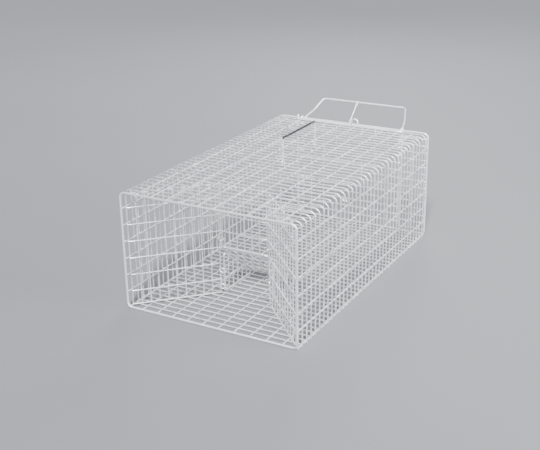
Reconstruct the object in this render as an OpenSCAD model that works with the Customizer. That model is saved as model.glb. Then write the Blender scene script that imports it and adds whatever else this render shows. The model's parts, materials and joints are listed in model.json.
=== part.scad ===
// Live catch trap: a welded wire cage with a V-shaped funnel, a one-way flap and a lifting rear door.
// Millimetres. +X is the right side seen from the mouth, +Y runs to the rear, +Z is up.
// The origin is the middle of the underside of the whole trap, with the handle leaning back.

/* [Cage] */
// Outer width, side to side
cage_w = 220; // [190:1:300]
// Outer length, front frame to rear frame
cage_l = 360; // [290:1:480]
// Outer height
cage_h = 140; // [112:1:190]
// Outer radius of the bend between roof and side
bend_r = 7; // [5:0.5:12]
// Diameter of the front and rear frame wires
frame_d = 2.4; // [2:0.1:3]

/* [Mesh] */
// Thickness of the mesh wire
wire = 1.5; // [1.2:0.1:2]
// Depth that crossing wires sink into each other where they are welded
weld = 0.3; // [0.2:0.05:0.5]
// Wanted spacing of the closely set wires
fine_pitch = 10; // [8:0.5:13]
// Wanted spacing of the widely set wires
coarse_pitch = 20; // [16:0.5:28]

/* [Funnel] */
// Width of the low passage at the end of the funnel
throat_w = 60; // [46:1:80]
// Height of the low passage
throat_h = 60; // [46:1:74]
// Distance from the mouth to the throat
funnel_depth = 80; // [60:1:110]
// Diameter of the rod that the flap hangs from
rod_d = 2.4; // [2:0.1:3]
// Length of floor covered by the closed flap
flap_run = 70; // [55:1:90]
// How far the flap stands past each cheek
flap_lap = 2.2; // [1.8:0.1:4]
// Diameter of the flap's and the cheeks' edge wires
edge_d = 2; // [1.6:0.1:2.4]

/* [Rear door] */
// Width between the middles of the door's side wires
door_w = 152; // [110:1:166]
// Diameter of the door's frame wire
door_d = 2.2; // [1.8:0.1:2.6]
// Height that the door's side wires stand above its top wire
ear_h = 6; // [4:0.5:10]
// Outer width of the finger loop on the door
loop_w = 11; // [9:0.5:20]
// Height of the finger loop above the door's top wire
loop_h = 9; // [7:0.5:15]
// Place of the finger loop, to the right of the middle
loop_x = 8; // [6:0.5:30]
// Diameter of the guide rods that the door slides behind
guide_d = 2; // [1.6:0.1:2.6]
// Clearance of the door to what it slides past
door_gap = 0.4; // [0.3:0.05:0.6]
// Overlap of the door behind each rear side panel
door_lap = 6; // [4:0.5:10]

/* [Handle] */
// Diameter of the handle wire
handle_d = 2.5; // [2:0.1:3]
// Length of the handle's bar between the middles of its bends
handle_bar = 121; // [80:1:126]
// Reach of the handle from the rear rod to its bar
handle_reach = 45; // [36:1:60]
// Angle at which the handle leans back above level
handle_lean = 25; // [15:1:40]
// Diameter of the stay wire in the handle's middle
stay_d = 1.6; // [1.2:0.1:2]
// Place of the stay on the rear rod
stay_x = -2.5; // [-12:0.5:-1.5]
// Sideways step of the stay from the rear rod to the bar
stay_step = -6.5; // [-12:0.5:0]

/* [Bait rack] */
// Diameter of the rack wire
rack_d = 2.5; // [2:0.1:3]
// Mesh cells that the rack spans along the roof
rack_cells = 9; // [5:1:12]
// Length of each rack leg under the roof
rack_leg = 26; // [18:1:36]
// Diameter of the hook wire
hook_d = 1.6; // [1.2:0.1:2]
// Length of a hook's shank
hook_l = 68; // [40:1:75]
// Radius of a hook's bend
hook_r = 6; // [4:0.5:9]

/* [Rings] */
// Wire diameter of the clinched joining rings
ring_d = 1.5; // [1.2:0.1:2]
// Running clearance of a wire eye on its rod
run_gap = 0.05; // [0.02:0.01:0.1]
// Thickness of a wire eye as a multiple of its wire
eye_swell = 1.15; // [1.1:0.05:1.3]

/* [Hidden] */
$fn = 48;

// Layers: two crossing wires sunk together by the weld
mesh_t = 2 * wire - weld;
// Reach of the handle's foot rings from the middle of the rear rod
foot_ring_d = handle_d * eye_swell;
foot_ring_r = frame_d / 2 + run_gap + foot_ring_d / 2;
foot_ring_out = foot_ring_r + foot_ring_d / 2;

// Reach of the stay's eye from the middle of the handle's bar
stay_eye_d = stay_d * eye_swell;
bar_ring_r = handle_d / 2 + run_gap + stay_eye_d / 2;
bar_ring_out = bar_ring_r + stay_eye_d / 2;

// Lengthways stations
reach_y = handle_reach * cos(handle_lean) + bar_ring_out - frame_d / 2;
front_y = -round(50 * (cage_l + reach_y)) / 100;
front_mid = front_y + frame_d / 2;
rear_mid = front_y + cage_l - frame_d / 2;
door_y = rear_mid - foot_ring_out - door_gap - door_d / 2;
guide_y = door_y - door_d / 2 - door_gap - guide_d / 2;
last_y = guide_y - guide_d / 2 - wire / 2;
n_l = round((last_y - front_mid) / fine_pitch);
pitch_l = (last_y - front_mid) / n_l;

// Crossways and upright stations
n_w = round(cage_w / coarse_pitch);
pitch_w = cage_w / n_w;
n_h = round(cage_h / coarse_pitch);
pitch_h = cage_h / n_h;
inner_w = cage_w - 2 * mesh_t;
rear_rod_z = cage_h - frame_d / 2;

// Funnel
throat_y = front_y + funnel_depth;
wing_start = [cage_w / 2 - mesh_t - 2.3, front_y + frame_d + 2.3];
wing_end = [throat_w / 2 + 1.6, throat_y - 1.2];
wing_len = norm(wing_end - wing_start);
wing_turn = atan2(wing_end.y - wing_start.y, wing_start.x - wing_end.x);
n_wing = round(wing_len / fine_pitch);
n_throat = 2 * round(throat_w / fine_pitch / 2);
wing_h = cage_h - 2 * mesh_t;

// Flap, laid out flat from the rod and then tilted down
flap_w = throat_w + 2 * flap_lap;
flap_bar = 5;
flap_drop = throat_h - mesh_t - edge_d / 2 - 0.5;
flap_tilt = atan2(flap_drop, flap_run);
flap_len = norm([flap_drop, flap_run]);
flap_rest = 0.3;
flap_bend = 4;
cheek_start = 1.6;

// Door
door_low = mesh_t + door_gap + door_d / 2;
door_high = cage_h - door_d / 2;
foot_x = door_w / 2 - door_d / 2 - foot_ring_d / 2 - 0.45;

// Rack
rack_x = -cage_w / 2 + round(0.29 * n_w) * pitch_w + 4;
rack_rear = front_mid + (n_l - 0.5) * pitch_l;
rack_front = rack_rear - rack_cells * pitch_l;
rack_z = cage_h + rack_d / 2;
rack_bend = 3.5;
rack_eye_d = rack_d * eye_swell;
eye_r = 3;
eye_z = cage_h - mesh_t - rack_leg - eye_r;
hook_eye_r = 3;
// Thickness of a knuckle as a multiple of its wire
knuckle_swell = 1.06;

function heading(a, b) = atan2(b.y - a.y, b.x - a.x);
function turned(a, b, c) =
    let (t = heading(b, c) - heading(a, b)) t > 180 ? t - 360 : t < -180 ? t + 360 : t;
function trimmed(p, i, r) = (i == 0 || i == len(p) - 1) ? 0 : r * tan(abs(turned(p[i - 1], p[i], p[i + 1])) / 2);
function along(a, b) = (b - a) / norm(b - a);

// Round wire in the XY plane through the points p, with bends of radius r
module bent_wire(p, d, r) {
    for (i = [0 : len(p) - 2]) {
        a = p[i] + along(p[i], p[i + 1]) * trimmed(p, i, r);
        b = p[i + 1] - along(p[i], p[i + 1]) * trimmed(p, i + 1, r);
        translate([a.x, a.y, 0]) rotate([0, 90, heading(a, b)]) cylinder(h = norm(b - a), d = d);
    }
    for (i = [1 : len(p) - 2]) bend(p[i - 1], p[i], p[i + 1], d, r);
}

// One bend of a wire at b, coming from a and going to c
module bend(a, b, c, d, r) {
    t = turned(a, b, c);
    side = t > 0 ? 90 : -90;
    start = b - along(a, b) * r * tan(abs(t) / 2);
    middle = start + r * [cos(heading(a, b) + side), sin(heading(a, b) + side)];
    from = t > 0 ? heading(a, b) - 90 : heading(b, c) + 90;
    translate([middle.x, middle.y, 0]) rotate([0, 0, from]) rotate_extrude(angle = abs(t))
        translate([r, 0]) circle(d = d);
}

// Round wire in the XY plane through the points p, with a hammered knuckle at each turn
module knuckled_wire(p, d) {
    for (i = [0 : len(p) - 2]) translate([p[i].x, p[i].y, 0])
        rotate([0, 90, heading(p[i], p[i + 1])]) cylinder(h = norm(p[i + 1] - p[i]), d = d);
    for (i = [1 : len(p) - 2]) translate([p[i].x, p[i].y, 0]) sphere(d = d * knuckle_swell);
}

// Closed ring about the Z axis, r from its middle to the middle of its wire
module ring(r, d) {
    rotate_extrude() translate([r, 0]) circle(d = d);
}

// The same ring about the X axis
module ring_x(r, d) {
    rotate([0, 90, 0]) ring(r, d);
}

// Flat welded mesh on the XY plane: wires along Y below, at xs, and wires along X above, at ys
module mesh_sheet(xs, ys, x0, x1, y0, y1) {
    for (x = xs) translate([x - wire / 2, y0, 0]) cube([wire, y1 - y0, wire]);
    for (y = ys) translate([x0, y - wire / 2, wire - weld]) cube([x1 - x0, wire, wire]);
}

function fine_stations() = [for (j = [1 : n_l]) front_mid + j * pitch_l];
function coarse_stations() = [for (i = [1 : n_w - 1]) -cage_w / 2 + i * pitch_w];
function rows() = [for (k = [1 : n_h - 1]) k * pitch_h];

// Roof: wires across on top, running down round the bends to the sides, and wires along beneath
module top_mesh() {
    color("silver") {
        half = cage_w / 2 - bend_r;
        translate([0, 0, cage_h - mesh_t])
            mesh_sheet(coarse_stations(), fine_stations(), -half, half, front_y + frame_d, last_y + wire / 2);
        for (y = fine_stations()) for (s = [0, 180])
            rotate([0, 0, s]) translate([half, s == 0 ? y : -y, cage_h - bend_r])
                rotate([90, 0, 0]) rotate_extrude(angle = 90)
                    translate([bend_r - wire, -wire / 2]) square(wire);
    }
}

// Side wall: upright wires outside, wires along inside, on the right; the left one mirrors it
module side_mesh() {
    color("silver") {
        outer = cage_w / 2;
        for (y = fine_stations()) translate([outer - wire, y - wire / 2, 0])
            cube([wire, wire, cage_h - bend_r]);
        for (z = concat([wire / 2], rows())) translate([outer - mesh_t, front_y + frame_d, z - wire / 2])
            cube([wire, cage_l - 2 * frame_d, wire]);
    }
}

module right_side_mesh() {
    side_mesh();
}

module left_side_mesh() {
    mirror([1, 0, 0]) side_mesh();
}

// Floor: wires along underneath, which the trap stands on, and wires across above them
module floor_mesh() {
    color("silver") {
        edge = inner_w / 2 - wire / 2;
        mesh_sheet(concat([-edge], coarse_stations(), [edge]), fine_stations(), -inner_w / 2, inner_w / 2,
            front_y + frame_d, rear_mid - frame_d / 2);
    }
}

// Thick wire loop round one end of the cage
module end_frame(y) {
    half = (cage_w - frame_d) / 2;
    low = frame_d / 2;
    color("gainsboro") translate([0, y, 0]) rotate([90, 0, 0])
        bent_wire([[0, low], [half, low], [half, rear_rod_z], [-half, rear_rod_z], [-half, low], [0, low]],
            frame_d, bend_r - frame_d / 2);
}

module front_frame() {
    end_frame(front_mid);
}

module rear_frame() {
    end_frame(rear_mid);
}

// Fixed strip of the rear wall beside the door, on the right
module rear_strip() {
    x0 = door_w / 2 - door_lap;
    x1 = cage_w / 2 - frame_d;
    z0 = bend_r;
    z1 = cage_h - frame_d - foot_ring_out - 1;
    n = max(1, round((x1 - x0) / coarse_pitch));
    m = round((z1 - z0) / fine_pitch);
    xs = [for (i = [0 : n]) x0 + wire / 2 + i * (x1 - x0 - wire) / n];
    zs = [for (k = [0 : m]) z0 + wire / 2 + k * (z1 - z0 - wire) / m];
    color("silver") translate([0, rear_mid + wire / 2, 0]) rotate([90, 0, 0])
        mesh_sheet(xs, zs, x0, x1, z0, z1);
}

module rear_right_mesh() {
    rear_strip();
}

module rear_left_mesh() {
    mirror([1, 0, 0]) rear_strip();
}

// Slanting wall of the funnel, on the right, from the front corner to the throat
module wing() {
    xs = [for (i = [0 : n_wing]) wire / 2 + i * (wing_len - wire) / n_wing];
    zs = concat([wire / 2], [for (z = rows()) z - mesh_t], [wing_h - wire / 2]);
    color("lightsteelblue") translate([wing_end.x, wing_end.y, mesh_t]) rotate([90, 0, -wing_turn])
        translate([0, 0, -mesh_t / 2]) mesh_sheet(xs, zs, 0, wing_len, 0, wing_h);
}

module right_wing() {
    wing();
}

module left_wing() {
    mirror([1, 0, 0]) wing();
}

// Upright panel that closes the funnel above the throat
module throat_panel() {
    low = throat_h + rod_d / 2;
    high = cage_h - mesh_t;
    xs = [for (i = [0 : n_throat]) -throat_w / 2 + wire / 2 + i * (throat_w - wire) / n_throat];
    zs = concat([for (z = rows()) if (z > low + 8 && z < high - 6) z], [high - wire / 2]);
    color("lightsteelblue") translate([0, throat_y + wire / 2, 0]) rotate([90, 0, 0])
        mesh_sheet(xs, zs, -throat_w / 2, throat_w / 2, low, high);
}

// Rod across the top of the throat
module throat_rod() {
    color("gainsboro") translate([-throat_w / 2, throat_y, throat_h]) rotate([0, 90, 0])
        cylinder(h = throat_w, d = rod_d);
}

// Side of the low passage, on the right: a three-cornered sheet under the flap's edge
module cheek() {
    gap = (edge_d + flap_rest) / cos(flap_tilt) + edge_d / 2;
    y0 = throat_y + cheek_start;
    slope = tan(flap_tilt);
    high = throat_h - cheek_start * slope - gap;
    y1 = y0 + (high - mesh_t) / slope;
    outline = [[y0, mesh_t], [y1, mesh_t], [y0, high]];
    color("silver") translate([throat_w / 2 - edge_d / 2, 0, 0]) rotate([90, 0, 90]) {
        linear_extrude(edge_d) difference() {
            polygon(outline);
            offset(delta = -edge_d) polygon(outline);
        }
        intersection() {
            linear_extrude(edge_d) offset(delta = -edge_d + 0.2) polygon(outline);
            union() {
                for (i = [1 : round((y1 - y0) / fine_pitch)])
                    translate([y0 + i * fine_pitch - wire / 2, 0, (edge_d - wire) / 2])
                        cube([wire, high, wire]);
                for (k = [1 : round(high / coarse_pitch)])
                    translate([y0, k * coarse_pitch - wire / 2, (edge_d - wire) / 2])
                        cube([y1 - y0, wire, wire]);
            }
        }
    }
}

module right_cheek() {
    cheek();
}

module left_cheek() {
    mirror([1, 0, 0]) cheek();
}

// Two upright rods that the door slides behind
module door_guides() {
    color("gainsboro") for (s = [-1, 1]) translate([s * door_w / 2, guide_y, wire - weld])
        cylinder(h = cage_h - wire + weld, d = guide_d);
}

// Clinched rings that hold the wings to the throat panel
module wing_rings() {
    x = (wing_end.x + throat_w / 2) / 2;
    color("gainsboro") for (s = [-1, 1]) for (k = [1 : n_h - 1])
        if (k % 2 == 1 && (k + 0.5) * pitch_h > throat_h + ring_d)
            translate([s * x, throat_y - 0.7, (k + 0.5) * pitch_h]) ring(3.1 + ring_d / 2, ring_d);
}

// Clinched rings that hold each cheek to the end of the wing in front of it
module cheek_rings() {
    y = throat_y + cheek_start - 1;
    color("gainsboro") for (s = [-1, 1]) for (k = [0.5, 1.5])
        translate([s * (throat_w / 2 + 1), y, k * pitch_h]) ring(4.1 + ring_d / 2, ring_d);
}

// Clinched rings round an upright of each side wall, under the roof
module side_rings() {
    j = round(0.3 * n_l);
    color("gainsboro") for (s = [-1, 1])
        translate([s * (cage_w / 2 - mesh_t / 2), front_mid + j * pitch_l, cage_h - bend_r - 3.5])
            ring(mesh_t / 2 + 0.9 + ring_d / 2, ring_d);
}

// Staple on the roof, with a leg and an eye under it at each end
module bait_rack() {
    leg_low = eye_z + eye_r;
    color("dimgray") {
        translate([rack_x, 0, 0]) rotate([90, 0, 90])
            bent_wire([[rack_front, leg_low], [rack_front, rack_z], [rack_rear, rack_z], [rack_rear, leg_low]],
                rack_d, rack_bend);
        for (y = [rack_front, rack_rear]) translate([rack_x, y, eye_z]) ring_x(eye_r, rack_eye_d);
    }
}

// Wire hook with an eye at its top, drawn from the wire that it hangs on
module bait_hook() {
    eye_d = hook_d * eye_swell;
    drop = hook_eye_r - eye_d / 2 - rack_eye_d / 2 - run_gap;
    low = -drop - hook_eye_r - hook_l;
    curve = [for (a = [0 : -30 : -180]) [hook_r * (cos(a) - 0.3), low + hook_r * sin(a)]];
    color("gray") rotate([90, 0, 0]) {
        translate([0, -drop, 0]) ring(hook_eye_r, eye_d);
        knuckled_wire(concat([[0, -drop - hook_eye_r]], curve, [[-hook_r * 1.5, low + hook_r]]), hook_d);
    }
}

module front_bait_hook() {
    translate([rack_x, rack_front, eye_z - eye_r]) bait_hook();
}

module rear_bait_hook() {
    translate([rack_x, rack_rear, eye_z - eye_r]) bait_hook();
}

// Everything on the flap is drawn level, from the rod to the rear, and tilted down here
module on_flap() {
    translate([0, throat_y, throat_h]) rotate([-flap_tilt, 0, 0]) children();
}

module flap_frame() {
    half = flap_w / 2;
    color("gainsboro") on_flap() bent_wire([[0, flap_bar], [half, flap_bar], [half, flap_len],
        [-half, flap_len], [-half, flap_bar], [0, flap_bar]], edge_d, flap_bend);
}

module flap_mesh() {
    half = (flap_w - edge_d) / 2;
    y0 = flap_bar + edge_d / 2;
    y1 = flap_len - edge_d / 2;
    n = n_throat;
    m = round((y1 - y0) / coarse_pitch);
    xs = [for (i = [1 : n - 1]) -half + i * 2 * half / n];
    ys = [for (k = [1 : m]) y0 + (k - 0.5) * (y1 - y0) / m];
    color("silver") on_flap() translate([0, 0, -wire / 2]) mesh_sheet(xs, ys, -half, half, y0, y1);
}

// Clinched rings that hinge the flap on the throat rod
module flap_rings() {
    front = -rod_d / 2 - run_gap;
    back = flap_bar + edge_d / 2 + run_gap;
    x = (floor(n_throat / 2) - 0.5) * throat_w / n_throat;
    color("gainsboro") on_flap() for (s = [-1, 1]) translate([s * x, (front + back) / 2, 0])
        ring_x((back - front) / 2 + ring_d / 2, ring_d);
}

// Lifting door: a thick wire loop whose side wires stand up above its top wire
module door_frame() {
    half = door_w / 2;
    color("gainsboro") translate([0, door_y, 0]) rotate([90, 0, 0]) {
        bent_wire([[-half, door_high + ear_h], [-half, door_low], [half, door_low],
            [half, door_high + ear_h]], door_d, 4);
        translate([-half, door_high, 0]) rotate([0, 90, 0]) cylinder(h = door_w, d = door_d);
    }
}

module door_mesh() {
    half = (door_w - door_d) / 2;
    z0 = door_low + door_d / 2;
    z1 = door_high - door_d / 2;
    n = 2 * round(door_w / coarse_pitch / 2);
    m = round((z1 - z0) / fine_pitch);
    xs = [for (i = [1 : n - 1]) -half + i * 2 * half / n];
    zs = [for (k = [1 : m - 1]) z0 + k * (z1 - z0) / m];
    color("silver") translate([0, door_y + wire - weld / 2, 0]) rotate([90, 0, 0])
        mesh_sheet(xs, zs, -half, half, z0, z1);
}

// Finger loop on the door's top wire
module door_loop() {
    half = (loop_w - door_d) / 2;
    low = door_high + door_d / 2;
    high = door_high + loop_h;
    color("gainsboro") translate([loop_x, door_y, 0]) rotate([90, 0, 0])
        bent_wire([[-half, low], [-half, high], [half, high], [half, low]], door_d, half * 0.7);
}

// Everything on the handle is drawn level, from the rear rod to the rear, and leaned back here
module on_handle() {
    translate([0, rear_mid, rear_rod_z]) rotate([handle_lean, 0, 0]) children();
}

module carry_handle() {
    bar_x = handle_bar / 2;
    color("gainsboro") on_handle() {
        knuckled_wire([[-foot_x, foot_ring_r], [-bar_x, handle_reach], [bar_x, handle_reach],
            [foot_x, foot_ring_r]], handle_d);
        for (s = [-1, 1]) translate([s * foot_x, 0, 0]) ring_x(foot_ring_r, foot_ring_d);
    }
}

// Thin wire from an eye on the rear rod to an eye on the handle's bar
module handle_stay() {
    rod_ring_r = frame_d / 2 + run_gap + stay_eye_d / 2;
    color("silver") on_handle() {
        translate([stay_x, 0, 0]) ring_x(rod_ring_r, stay_eye_d);
        translate([stay_x + stay_step, handle_reach, 0]) ring_x(bar_ring_r, stay_eye_d);
        knuckled_wire([[stay_x, rod_ring_r], [stay_x + stay_step, handle_reach - bar_ring_r]], stay_d);
    }
}

top_mesh();
left_side_mesh();
right_side_mesh();
floor_mesh();
front_frame();
rear_frame();
rear_left_mesh();
rear_right_mesh();
left_wing();
right_wing();
throat_panel();
throat_rod();
left_cheek();
right_cheek();
door_guides();
wing_rings();
cheek_rings();
side_rings();
bait_rack();
flap_frame();
flap_mesh();
flap_rings();
door_frame();
door_mesh();
door_loop();
carry_handle();
handle_stay();
front_bait_hook();
rear_bait_hook();
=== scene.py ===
"""Looks of a live catch trap: welded mesh, bent frame wires, clinched rings and wound eyes."""

import json
import logging
import math
import random
from dataclasses import dataclass, field
from enum import Enum, IntEnum
from typing import Any, Iterable, Sequence, Union

import bmesh
import bpy
from mathutils import Matrix, Quaternion, Vector, noise


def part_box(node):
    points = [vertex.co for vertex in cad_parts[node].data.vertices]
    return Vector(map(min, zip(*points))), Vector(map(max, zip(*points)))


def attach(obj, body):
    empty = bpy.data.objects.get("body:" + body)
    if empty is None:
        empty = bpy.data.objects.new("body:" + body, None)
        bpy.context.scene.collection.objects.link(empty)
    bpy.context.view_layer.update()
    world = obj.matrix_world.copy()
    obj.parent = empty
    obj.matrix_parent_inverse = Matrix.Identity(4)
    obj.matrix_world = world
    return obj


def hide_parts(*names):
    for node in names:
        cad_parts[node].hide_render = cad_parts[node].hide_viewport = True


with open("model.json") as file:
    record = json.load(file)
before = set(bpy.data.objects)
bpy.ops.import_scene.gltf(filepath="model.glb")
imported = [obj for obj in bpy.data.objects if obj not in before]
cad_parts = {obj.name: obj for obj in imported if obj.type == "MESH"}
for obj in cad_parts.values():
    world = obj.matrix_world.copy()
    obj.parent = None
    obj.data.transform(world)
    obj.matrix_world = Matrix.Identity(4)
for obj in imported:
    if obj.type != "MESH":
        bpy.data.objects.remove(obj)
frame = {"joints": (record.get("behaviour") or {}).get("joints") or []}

LOG = logging.getLogger("trap")
MM = 0.001
# Start of the slow field that sways the wires. Left out, it would start from the clock.
SWAY_SEED = 5
HERE = Matrix.Identity(4)
SIDES = ((1, "right"), (-1, "left"))

# An opening this wide is no bend, and degrees from one section to the next in a bend or a coil.
STRAIGHT = math.radians(179)
BEND_STEP = 13
COIL_STEP = 15

# Flats round each kind of wire.
MESH_FLATS = 10
RING_FLATS = 12
ROD_FLATS = 14
FRAME_FLATS = 16
STRAND_FLATS = 8

MESH_WIRE = 1.5 * MM
# Reach of a wound eye past its middle line, over the wire's thickness.
EYE_REACH = 0.575
# Smallest and largest scale of one weld among its like.
WELD_SWELL = (0.88, 1.12)

Colour = tuple[float, float, float]
Sizes = tuple[float, float, float]


class Ends(Enum):
    """How a wire's two ends are finished: length of the end over the thickness, and taper."""

    CUT = (0.14, 0.74)
    FLUSH = (0.04, 1.0)
    POINTED = (1.7, 0.22)
    JOINED = (0.0, 1.0)


class Axis(Enum):
    """A row axis that something is wound round."""

    X = (1.0, 0.0, 0.0)
    Y = (0.0, 1.0, 0.0)
    Z = (0.0, 0.0, 1.0)


class Lump(Enum):
    """Half sizes of each kind of weld, in millimetres, along the axes of what it sits on."""

    CROSSING = (0.95, 0.95, 0.62)
    ROOF_EDGE = (1.2, 1.3, 1.0)
    WALL = (0.62, 0.9, 0.9)
    WALL_EDGE = (1.0, 1.0, 1.25)
    FLOOR_EDGE = (1.3, 1.5, 1.0)
    FRAME_SEAM = (1.1, 1.25, 1.18)
    HINGE_ROD = (1.0, 0.8, 0.55)
    CHEEK_EDGE = (1.0, 1.0, 0.9)
    CHEEK_ROW = (0.95, 1.0, 1.0)
    GUIDE_END = (1.0, 0.6, 0.8)
    FLAP_SEAM = (0.9, 1.05, 1.0)
    DOOR_CORNER = (1.35, 1.2, 1.35)
    LOOP_FOOT = (1.35, 1.3, 0.8)


class Draws(IntEnum):
    """Start of each piece's random draws. A piece with a side adds 1 or takes 1 off."""

    ROOF = 11
    WALL = 23
    FLOOR = 31
    FRAME = 41
    WING = 53
    PANEL = 61
    HINGE_ROD = 67
    CHEEK = 71
    STRIP = 83
    GUIDES = 89
    RINGS = 97
    FLAP_RIM = 101
    FLAP_NET = 103
    DOOR_RIM = 107
    DOOR_NET = 109
    DOOR_LOOP = 113
    HANDLE = 127
    STAY = 131
    RACK = 137
    HOOK = 139


# ---------------------------------------------------------------- shader maths


class Value:
    """A number in a shader: a socket with the operators that the finishes use."""

    def __init__(self, shader: "Shader", socket: bpy.types.NodeSocket) -> None:
        """Keeps the socket and the shader that it belongs to."""
        self.shader = shader
        self.socket = socket

    def _math(self, operation: str, first: Any, second: Any) -> "Value":
        """Adds one Math node.

        Args:
            operation: The Math node's operation.
            first: Its first number.
            second: Its second number.

        Returns:
            The result.
        """
        made = self.shader.node(
            "ShaderNodeMath", {"operation": operation}, {0: first, 1: second}
        )
        return Value(self.shader, made.outputs[0])

    def __add__(self, other: Any) -> "Value":
        """Sum."""
        return self._math("ADD", self, other)

    def __radd__(self, other: Any) -> "Value":
        """Sum with a number in front."""
        return self._math("ADD", other, self)

    def __sub__(self, other: Any) -> "Value":
        """Difference."""
        return self._math("SUBTRACT", self, other)

    def __rsub__(self, other: Any) -> "Value":
        """Difference with a number in front."""
        return self._math("SUBTRACT", other, self)

    def __mul__(self, other: Any) -> "Value":
        """Product."""
        return self._math("MULTIPLY", self, other)

    def __rmul__(self, other: Any) -> "Value":
        """Product with a number in front."""
        return self._math("MULTIPLY", other, self)

    def limited(self) -> "Value":
        """Holds the number between 0 and 1."""
        made = self.shader.node("ShaderNodeClamp", {}, {"Value": self})
        return Value(self.shader, made.outputs[0])


Feed = Union[float, Colour, tuple, Value, bpy.types.NodeSocket]


class Shader:
    """The node tree of one finish."""

    def __init__(self, name: str) -> None:
        """Starts a material with one Principled shader on its output.

        Args:
            name: The material's name.
        """
        self.material = bpy.data.materials.new(name)
        self.material.use_nodes = True
        self.tree = self.material.node_tree
        self.tree.nodes.clear()
        self.surface = self.node("ShaderNodeBsdfPrincipled", {}, {})
        self.node("ShaderNodeOutputMaterial", {}, {"Surface": self.surface.outputs[0]})
        self.place = self.node("ShaderNodeTexCoord", {}, {}).outputs["Object"]

    def _fill(self, made: bpy.types.Node, inputs: dict[Any, Feed]) -> None:
        """Fills sockets of a node.

        Args:
            made: The node.
            inputs: Socket name or number to a plain value or a link.
        """
        for key, feed in inputs.items():
            source = feed.socket if isinstance(feed, Value) else feed
            if isinstance(source, bpy.types.NodeSocket):
                self.tree.links.new(source, made.inputs[key])
            else:
                made.inputs[key].default_value = source

    def node(
        self, kind: str, settings: dict[str, Any], inputs: dict[Any, Feed]
    ) -> bpy.types.Node:
        """Adds a node, sets it and fills its sockets.

        Args:
            kind: The node's type.
            settings: Its own settings, set before its sockets are filled.
            inputs: Socket name or number to a plain value or a link.

        Returns:
            The node.
        """
        made = self.tree.nodes.new(kind)
        for key, setting in settings.items():
            setattr(made, key, setting)
        self._fill(made, inputs)
        return made

    def noise(self, scale: float, detail: float, roughness: float = 0.5) -> Value:
        """Cloudy noise on the piece's own coordinates.

        Args:
            scale: Clouds in a metre.
            detail: How many finer layers it has.
            roughness: How strong the finer layers are.

        Returns:
            A number from 0 to 1.
        """
        made = self.node(
            "ShaderNodeTexNoise",
            {},
            {"Vector": self.place, "Scale": scale, "Detail": detail, "Roughness": roughness},
        )
        return Value(self, made.outputs["Fac"])

    def crystals(self, scale: float) -> tuple[Value, Value]:
        """Spangle cells.

        Args:
            scale: Cells in a metre.

        Returns:
            One random number for each cell, and the distance from the cell's middle.
        """
        made = self.node("ShaderNodeTexVoronoi", {}, {"Vector": self.place, "Scale": scale})
        parts = self.node("ShaderNodeSeparateColor", {}, {0: made.outputs["Color"]})
        return Value(self, parts.outputs[0]), Value(self, made.outputs["Distance"])

    def height(self) -> Value:
        """Height over the ground, in metres."""
        parts = self.node("ShaderNodeSeparateXYZ", {}, {0: self.place})
        return Value(self, parts.outputs["Z"])

    def layer(self, name: str) -> Value:
        """A number stored on the mesh under that name."""
        made = self.node("ShaderNodeAttribute", {"attribute_name": name}, {})
        return Value(self, made.outputs["Fac"])

    def blend(self, factor: Feed, first: Feed, second: Feed) -> bpy.types.NodeSocket:
        """Mixes two colours.

        Args:
            factor: 0 gives the first colour and 1 the second.
            first: A colour or a link.
            second: A colour or a link.

        Returns:
            The mixed colour.
        """
        colours = [
            (*feed, 1.0) if isinstance(feed, tuple) else feed for feed in (first, second)
        ]
        made = self.node(
            "ShaderNodeMix",
            {"data_type": "RGBA"},
            {0: factor, 6: colours[0], 7: colours[1]},
        )
        return made.outputs[2]

    def dress(self, inputs: dict[str, Feed]) -> None:
        """Fills sockets of the Principled shader."""
        self._fill(self.surface, inputs)

    def relief(self, level: Value, strength: float, distance: float) -> None:
        """Raises the surface.

        Args:
            level: How far it is raised, from 0 to 1.
            strength: How strongly it shows.
            distance: Height of a level of 1, in metres.
        """
        made = self.node(
            "ShaderNodeBump", {}, {"Strength": strength, "Distance": distance, "Height": level}
        )
        self.dress({"Normal": made.outputs[0]})


# -------------------------------------------------------------------- finishes


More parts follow.
